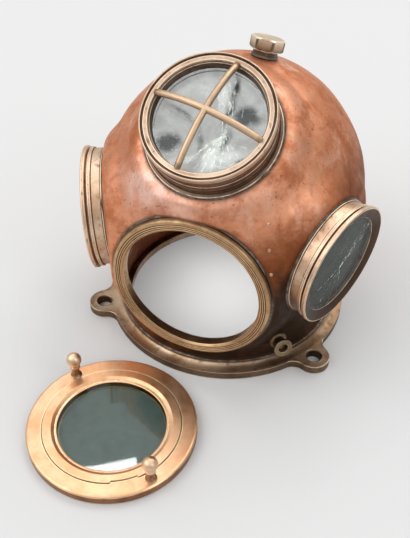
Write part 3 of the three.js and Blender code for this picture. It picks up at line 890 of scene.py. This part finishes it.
def guard_bar(turn):
    """A round bar that bows out over the top window."""
    sides = 20
    steps = 48
    verts = []
    edge = []
    for i in range(steps + 1):
        share = 2 * i / steps - 1
        along = share * BAR_REACH
        height = BAR_FOOT + BAR_BOW * (1 - (share * 0.95) ** 2)
        slope = math.atan2(-2 * BAR_BOW * share * 0.9, BAR_REACH)
        for k in range(sides):
            angle = 2 * math.pi * k / sides
            aside, lift = around(BAR_RADIUS, angle)
            x = along - lift * math.sin(slope)
            verts.append((
                x * math.cos(turn) - aside * math.sin(turn),
                x * math.sin(turn) + aside * math.cos(turn),
                height + lift * math.cos(slope),
            ))
            # painted highlight on the bars' upper side and painted shade at their feet
            edge.append(0.25 + 0.3 * math.sin(angle) if abs(share) < 0.93 else -0.3)
    faces = []
    for i in range(steps):
        for k in range(sides):
            a = i * sides + k
            b = i * sides + (k + 1) % sides
            faces.append((a, b, b + sides, a + sides))
    ends = (range(sides), [steps * sides + k for k in reversed(range(sides))])
    return verts, faces + [tuple(end) for end in ends], edge


def make_guard():
    verts = []
    faces = []
    edge = []
    for turn in BAR_TURNS:
        more, sides, weight = guard_bar(math.radians(turn))
        faces += [tuple(len(verts) + v for v in f) for f in sides]
        verts += more
        edge += weight
    place = WINDOWS["top"]["frame"]
    add_piece("guard", verts, faces, place, BAR_BRASS, "window_brass", ("guard_bars",), edge)


# Solder and rivets


def solder_seam(name, radius, height, size, place, seed, segments=240):
    """A soldered seam round a ring's foot: a small uneven bead."""
    def section(turn):
        swell = size * (1 + 0.5 * noise.noise(Vector((*around(4, turn), seed))))
        top = height + 1.4 * swell
        return [
            (radius - 1, height - 0.4, 0), (radius + 1.6 * swell, height - 0.4, 0),
            (radius + 1.2 * swell, height + 0.45 * swell, 0),
            (radius + 0.5 * swell, height + 0.95 * swell, 0), (radius - 0.3, top, 0), (radius - 1, top, 0),
        ]

    swept(name, even_turns(segments), section, place, SOLDER, "window_brass")


def make_seams():
    for i, (name, size) in enumerate((("front", 0.8), ("top", 0.9), ("right", 1.1), ("left", 1.1))):
        window = WINDOWS[name]
        solder_seam("solder_" + name, window["outer"], 0.3, size, window["frame"], 3 + 5 * i)
    solder_seam("solder_neck", NECK_RADIUS + 0.8, COLLAR_TOP + 0.2, 0.7, Matrix.Identity(4), 31)


RIVETS = ((66.2, -94.6, 184.8), (70.0, -101.5, 163.0), (73.2, -104.1, 140.8))


def make_rivets(shell):
    """Small rivets, each set where a line from outside meets the dome's skin."""
    middle = HELMET @ Vector((0, DOME_SET_BACK, DOME_HEIGHT))
    points = [(0, -1.6), (1.8, -1.6), (1.8, 0.1), (1.4, 0.5), (0.7, 0.7), (0, 0.8)]
    section = [(r, z, 0.0) for r, z in points]
    for i, point in enumerate(RIVETS):
        inwards = (middle - HELMET @ Vector(point)).normalized()
        place = shell.ray_cast(HELMET @ Vector(point) - 20 * MM * inwards, inwards)[1]
        seat = frame_at(HELMET.inverted() @ place, -inwards)
        lathe("rivet_%d" % (i + 1), section, seat, RING_BRASS, "copper", (), 24, False, 60)


# Crown cap

CROWN_TURN = 163
CROWN_RISE = 71
CAP_FLATS = 28
CAP_HEIGHT = 11
CAP_SPIN = 21
BOSS_RADIUS = 11.5
BOSS_HEIGHT = 4.4


def crown_frame():
    out = direction(CROWN_TURN, CROWN_RISE)
    depth = DOME_FRONT if out.y < 0 else DOME_BACK
    reach = 1 / math.hypot(out.x / DOME_WIDTH, out.y / depth, out.z / DOME_HALF_HEIGHT)
    return frame_at(out * reach + Vector((0, DOME_SET_BACK, DOME_HEIGHT)), out)


def make_crown():
    place = crown_frame()
    boss = [(0, -1.5), (BOSS_RADIUS + 1.5, -1.2), (BOSS_RADIUS + 0.6, 0.9), (BOSS_RADIUS, 1.6)]
    boss += [(BOSS_RADIUS, BOSS_HEIGHT), (0, BOSS_HEIGHT)]
    boss = rounded(boss, 0.4, 0.6, False)
    lathe("crown_washer", boss, place, SOLDER, "cap_brass", ("crown_boss",), 64, False)
    wide = CAP_FLATS / math.sqrt(3)
    low = BOSS_HEIGHT + GAP
    high = low + CAP_HEIGHT
    bevel = 1.6

    def section(turn):
        local = (turn - math.radians(CAP_SPIN)) % (math.pi / 3)
        flat = CAP_FLATS / 2 / math.cos(local - math.pi / 6)
        drop = bevel / 2 * max(0.0, flat - wide + bevel) / bevel
        inner = min(flat, wide - bevel)
        return [
            (0, low, 0), (inner - 0.4, low, 0), (inner, low + 0.05, 0.9), (flat, low + drop + 0.25, 0.9),
            (flat, low + drop + 1.2, 0), (flat, high - drop - 1.2, 0), (flat, high - drop - 0.3, 1),
            (inner, high - 0.06, 1), (inner - 0.5, high, 0.6), (inner - 1.6, high, 0), (0, high, 0),
        ]

    # painted shade on the cap's sides, so they are darker than its top
    def dull(radius, height, turn):
        return height < high - 1.5

    turns = [math.radians(CAP_SPIN) + turn for turn in even_turns(96)]
    swept("crown_cap", turns, section, place, CAP_BRASS, "cap_brass", ("crown_hex_cap",), False, 28, dull)


# Neck stub


def make_stub():
    foot = direction(45, 0) * NECK_RADIUS
    foot.z = 33
    place = frame_at(foot, direction(38, 12))
    points = [(0, -3), (9.6, -3), (9.2, 1.8), (8.4, 3.4), (7.0, 4.6), (6.4, 5.4), (6.4, 13.4), (7.2, 14)]
    points += [(9.2, 14), (9.5, 14.4), (9.5, 16.4), (8.9, 17), (5.4, 17), (4.7, 16.4), (4.7, 12), (0, 12)]
    section = rounded(points, 0.35, 0.7, False)
    lathe("stub_fitting", section, place, STUB_BRASS, "stub_brass", ("neck_stub",), 72, False)


# Face plate


def key_turns(segments=240):
    """Even turns with close pairs at both ends of the keyed stretch of the joint line."""
    turns = even_turns(segments)
    for end in (KEY_START, KEY_END):
        for offset in (-0.35, 0.35):
            turns.append(math.radians(end + offset) % (2 * math.pi))
    return sorted(turns)


def in_key(turn):
    angle = math.degrees(turn)
    angle = angle - 360 if angle > 180 else angle
    return KEY_START < angle < KEY_END


def make_plate():
    place = Matrix.Translation((PLATE_X, PLATE_Y, 0))
    rim_outer = 66.4
    high = PLATE_THICK + 1.1

    def ring_section(turn):
        bore = rim_outer + 0.35 - (KEY_DEPTH if in_key(turn) else 0)
        points = [(50.5, 0), (80.8, 0), (81.4, 0.6), (81.4, PLATE_THICK - 1.4), (80.2, PLATE_THICK - 0.3)]
        points += [(79.2, PLATE_THICK), (bore, PLATE_THICK), (bore, 1.7), (50.5, 1.7)]
        return rounded(points, 0.35, 0.8)

    def rim_section(turn):
        outer = rim_outer - 0.15 - (KEY_DEPTH if in_key(turn) else 0)
        points = [(56.5, 2.0), (outer, 2.0), (outer, high - 0.5), (outer - 0.5, high), (58.2, high)]
        points += [(57.6, high - 0.15), (55.0, high - 1.5), (54.6, high - 2.0), (54.6, 9.5), (52.6, 9.3)]
        points += [(52.2, 9.0), (52.2, 8.35), (56.5, 8.35)]
        return rounded(points, 0.25, 0.6)

    # painted shade on the band's outer wall
    def dull(radius, height, turn):
        return radius > 80.9 and height < PLATE_THICK - 1

    look = (place, PLATE_COPPER, "plate_copper")
    swept("plate_band", key_turns(), ring_section, *look, ("plate_ring",), dull=dull)
    swept("plate_bezel", key_turns(), rim_section, *look, ("plate_rim",))
    pane("plate", 56.2, 2.0, 8.0, place, PLATE_GLASS, "plate_glass")
    for i in (0, 1):
        angle = math.radians(KNOB_TURN + 180 * i)
        foot = (*around(KNOB_DISTANCE, angle), PLATE_THICK + GAP)
        # the knobs' necks below the balls get painted shade
        lathe(
            "knob_%d" % (i + 1), knob_section(), place @ Matrix.Translation(foot), KNOB_BRASS, "knob_brass",
            ("plate_knob_%d" % (i + 1),), 56, False, 40, lambda radius, height, turn: height < 13,
        )


def knob_section():
    ball = 7.4
    middle = 22.3
    points = [(0, 0), (5.6, 0), (5.6, 0.8), (5.0, 1.4), (4.1, 2.4), (3.6, 4.2), (3.6, 8.6)]
    points += [(4.0, 10.2), (4.9, 11.4), (4.9, 13.2)]
    section = rounded(points, 0.3, 0.5, False)
    start = math.asin(4.6 / ball)
    for i in range(25):
        angle = math.pi - start - (math.pi - start) * i / 24
        section.append((ball * math.sin(angle), middle + ball * math.cos(angle), 0.0))
    section[-1] = (0, middle + ball, 0.0)
    return section


# Stains on the glass: place in the window's frame, half sizes, lean and strength, below 0 for a
# white smear

TOP_STAINS = (
    (29, 12, 13, 9.5, -18, 1.25), (-31, -24, 12, 9.5, 20, 1.15), (13, 34, 3.6, 14, 6, 1.1),
    (14, 12, 3.6, 17, -8, 1.0), (17, -12, 5, 11, 0, 0.75), (-28, 6, 18, 3.2, -22, 0.75),
    (-3, -18, 4.2, 16, 14, 0.7), (35, -27, 5, 2.5, 20, 0.8), (4, 20, 4.5, 24, 14, -1.1),
    (24, -26, 12, 5, 25, -0.9), (9, -32, 5, 12, -14, -1.1), (-16, -38, 11, 3, 20, -1.0),
    (-12, 30, 8, 12, 30, -0.6),
)
PLATE_STAINS = (
    (2, 34, 3.5, 16, -6, -0.3), (12, 26, 7, 5, 0, -0.2), (24, 14, 4, 26, 30, -0.22),
    (-22, 30, 9, 2, 28, -0.3),
)


def film(name, place, radius, height, ground, stains, material):
    """A flat round sheet just inside a pane, dark by ground at least, with the stains' strength
    kept at its points."""
    rings = 40
    spokes = 120
    verts = []
    shade = []
    bloom = []
    for i in range(spokes):
        turn = 2 * math.pi * i / spokes
        for j in range(rings + 1):
            x, y = around(radius * j / rings, turn)
            wave = noise.noise_vector(Vector((x / 14, y / 14, height)))
            strength = ground
            white = 0.0
            for sx, sy, wide, tall, lean, most in stains:
                spot = Vector((x - sx + 3 * wave.x, y - sy + 3 * wave.y))
                spot.rotate(Matrix.Rotation(-math.radians(lean), 2))
                share = most * math.exp(-((spot.x / wide) ** 2) - (spot.y / tall) ** 2)
                strength = max(strength, share)
                white = max(white, -share)
            verts.append((x, y, height))
            shade.append(strength)
            bloom.append(white)
    faces = grid_faces(spokes, rings + 1, False)
    add_piece(name, verts, faces, place, material, "window_glass", shade=shade, bloom=bloom)


def make_films():
    film("top_film", WINDOWS["top"]["frame"], 48.3, 13.2, 0.0, TOP_STAINS, TOP_FILM)
    for side in ("right", "left"):
        film(side + "_film", WINDOWS[side]["frame"], 47.9, 10.6, 0.3, (), SIDE_FILM)
    film("plate_film", Matrix.Translation((PLATE_X, PLATE_Y, 0)), 49.8, 1.6, 0.0, PLATE_STAINS, PLATE_FILM)


# Cracks in the glass: each is a line of points in the window's frame and how far it leans

RIGHT_CRACKS = (
    (((37, 28), (18, 13), (-1, -2)), 3.0), (((33, 18), (15, 8), (-1, -3)), 2.4),
    (((26, 25), (14, 12), (6, 4)), 1.4), (((-1, -2), (-16, -5), (-34, -10)), 2.8),
    (((-1, -2), (-5, -22), (-9, -46)), 2.2), (((8, 14), (3, 4), (-1, -2)), 1.4),
    (((30, 32), (16, 17), (2, 2)), 1.8), (((22, 8), (9, 3), (-1, -2)), 1.6),
    (((-1, -2), (-11, -13), (-25, -31)), 2.0), (((-1, -2), (2, -20), (5, -41)), 1.6),
)
TOP_CRACKS = (
    (((1, 42), (4, 26), (9, 10), (14, -10)), 2.0), (((5, 41), (9, 24), (14, 8), (16, -9)), 3.0),
    (((10, 42), (13, 26), (17, 10), (17, -8)), 1.6), (((-3, 34), (2, 20), (8, 6)), 1.4),
    (((14, -10), (4, -22), (-8, -40)), 1.4), (((14, -10), (9, -20), (0, -44)), 1.8),
    (((15, -9), (10, -26), (7, -45)), 2.4), (((15, -9), (14, -28), (14, -45)), 3.0),
    (((16, -9), (19, -26), (21, -42)), 2.0), (((16, -9), (24, -24), (29, -37)), 2.6),
    (((16, -8), (28, -16), (42, -18)), 1.4), (((18, -12), (30, -24), (37, -29)), 1.6),
    (((-4, -36), (8, -40), (22, -38), (32, -32)), 3.0), (((4, -30), (14, -34), (24, -32)), 2.0),
    (((-32, -34), (-20, -39), (-10, -37)), 2.2), (((-24, -30), (-14, -34), (-6, -40)), 1.6),
    (((-36, 8), (-24, 2), (-12, -2)), 1.0), (((20, 30), (24, 20), (26, 8)), 1.0),
)


def crack_sheets(name, window, cracks, high, depth, material):
    """Broken faces that run from the front of the glass towards its back, leaning sideways."""
    verts = []
    faces = []
    for points, lean in cracks:
        line = []
        for (ax, ay), (bx, by) in zip(points, points[1:]):
            for i in range(10):
                t = i / 10
                line.append(Vector((ax + (bx - ax) * t, ay + (by - ay) * t)))
        line.append(Vector(points[-1]))
        first = len(verts)
        for i, point in enumerate(line):
            ahead = line[min(i + 1, len(line) - 1)] - line[max(i - 1, 0)]
            across = Vector((-ahead.y, ahead.x)).normalized()
            wave = noise.noise(Vector((point.x / 5, point.y / 5, lean)))
            top = point + across * wave * 0.5
            taper = 1 - (i / (len(line) - 1)) ** 2
            slant = 0.6 + noise.noise(Vector((point.x / 7, point.y / 7, 7)))
            bottom = top + across * lean * taper * slant
            verts += [(top.x, top.y, high), (bottom.x, bottom.y, high - depth)]
        for i in range(len(line) - 1):
            a = first + 2 * i
            faces.append((a, a + 2, a + 3, a + 1))
    add_piece(name, verts, faces, window["frame"], material, "window_glass")


# Floor, lights and camera

CAMERA_TURN = 20.17
CAMERA_RISE = 47.77
CAMERA_PLACE = (191.0, -599.2, 596.6)
FOCAL_PIXELS = 765.73
PHOTO_WIDTH = 410
PHOTO_HEIGHT = 538
CENTRE_PIXEL = (202.09, 348.76)
FLOOR_HALF = 6
FLOOR_DROP = 0.0005  # in metres, so that no underside lies in the floor
LIT_AT = (0, 0.05, 0.12)  # where the large lights point


def make_camera():
    data = bpy.data.cameras.new("camera")
    data.sensor_width = 36
    data.sensor_fit = "AUTO"
    data.lens = FOCAL_PIXELS * data.sensor_width / PHOTO_HEIGHT
    data.shift_x = (PHOTO_WIDTH / 2 - CENTRE_PIXEL[0]) / PHOTO_HEIGHT
    data.shift_y = (CENTRE_PIXEL[1] - PHOTO_HEIGHT / 2) / PHOTO_HEIGHT
    data.clip_start = 0.01
    camera = show("camera", data)
    place = frame_at(CAMERA_PLACE, direction(CAMERA_TURN, CAMERA_RISE))
    place.translation = HELMET @ Vector(CAMERA_PLACE)
    camera.matrix_world = place
    bpy.context.scene.camera = camera


def area_light(name, place, target, size, power, size_y=None, hidden=False):
    """A soft box; a hidden one only lights, and shows in no glass or metal."""
    data = bpy.data.lights.new(name, "AREA")
    data.energy = power
    data.size = size
    if size_y:
        data.shape = "RECTANGLE"
        data.size_y = size_y
    light = show(name, data)
    light.location = place
    light.rotation_euler = (Vector(target) - Vector(place)).to_track_quat("-Z", "Y").to_euler()
    light.visible_camera = False
    if hidden:
        light.visible_glossy = False
        light.visible_transmission = False
    return data


def make_stage():
    corners = ((-1, -1), (1, -1), (1, 1), (-1, 1))
    mesh = bpy.data.meshes.new("floor")
    mesh.from_pydata([(FLOOR_HALF * x, FLOOR_HALF * y, 0) for x, y in corners], [], [(0, 1, 2, 3)])
    floor = show("floor", mesh)
    floor.location.z = -FLOOR_DROP
    mesh.materials.append(new_material("floor").done(Base_Color=(0.665, 0.665, 0.665), Roughness=0.9))


def make_light():
    """Bright overhead, dimmer towards the horizon, with soft boxes at the upper left and behind."""
    world = bpy.data.worlds.new("studio")
    bpy.context.scene.world = world
    g = Graph(world, "Generated")
    axes = g.node("SeparateXYZ", Vector=g.place).outputs
    upward = g.band(axes["Z"], 0, 0.9, 0.36, 1.08)
    sideways = g.band(axes["X"], 0, 0.95, 1.0, 0.8)
    background = g.nodes["Background"]
    g.feed(background.inputs["Strength"], g.math("MULTIPLY", upward, sideways))
    background.inputs["Color"].default_value = (1, 1, 1, 1)
    area_light("key", (-1.9, -1.2, 2.2), LIT_AT, 2.8, 33)
    area_light("back", (0.5, 1.9, 2.4), LIT_AT, 2.0, 22)
    area_light("side", (2.3, -0.9, 1.6), LIT_AT, 0.9, 9, size_y=1.6)
    area_light("window", (-0.77, 0.95, 2.08), (-0.03, -0.184, 0.008), 0.27, 1.3, size_y=0.10)
    high, low = HELMET @ Vector((0, 10, 150)), HELMET @ Vector((0, 0, 0))
    area_light("inside", high, low, 0.12, 0.12, hidden=True).spread = math.radians(110)
    bpy.context.scene.view_settings.view_transform = "Standard"


make_camera()
make_stage()
make_light()
shell = make_shell()
make_flange()
front_ring()
top_ring()
side_ring("right")
side_ring("left")
make_panes()
make_guard()
make_seams()
make_rivets(shell)
make_crown()
make_stub()
make_plate()
make_films()
crack_sheets("right_cracks", WINDOWS["right"], RIGHT_CRACKS, 18.1, 0.5, SIDE_CRACK)
crack_sheets("top_cracks", WINDOWS["top"], TOP_CRACKS, 21.1, 5, TOP_CRACK)
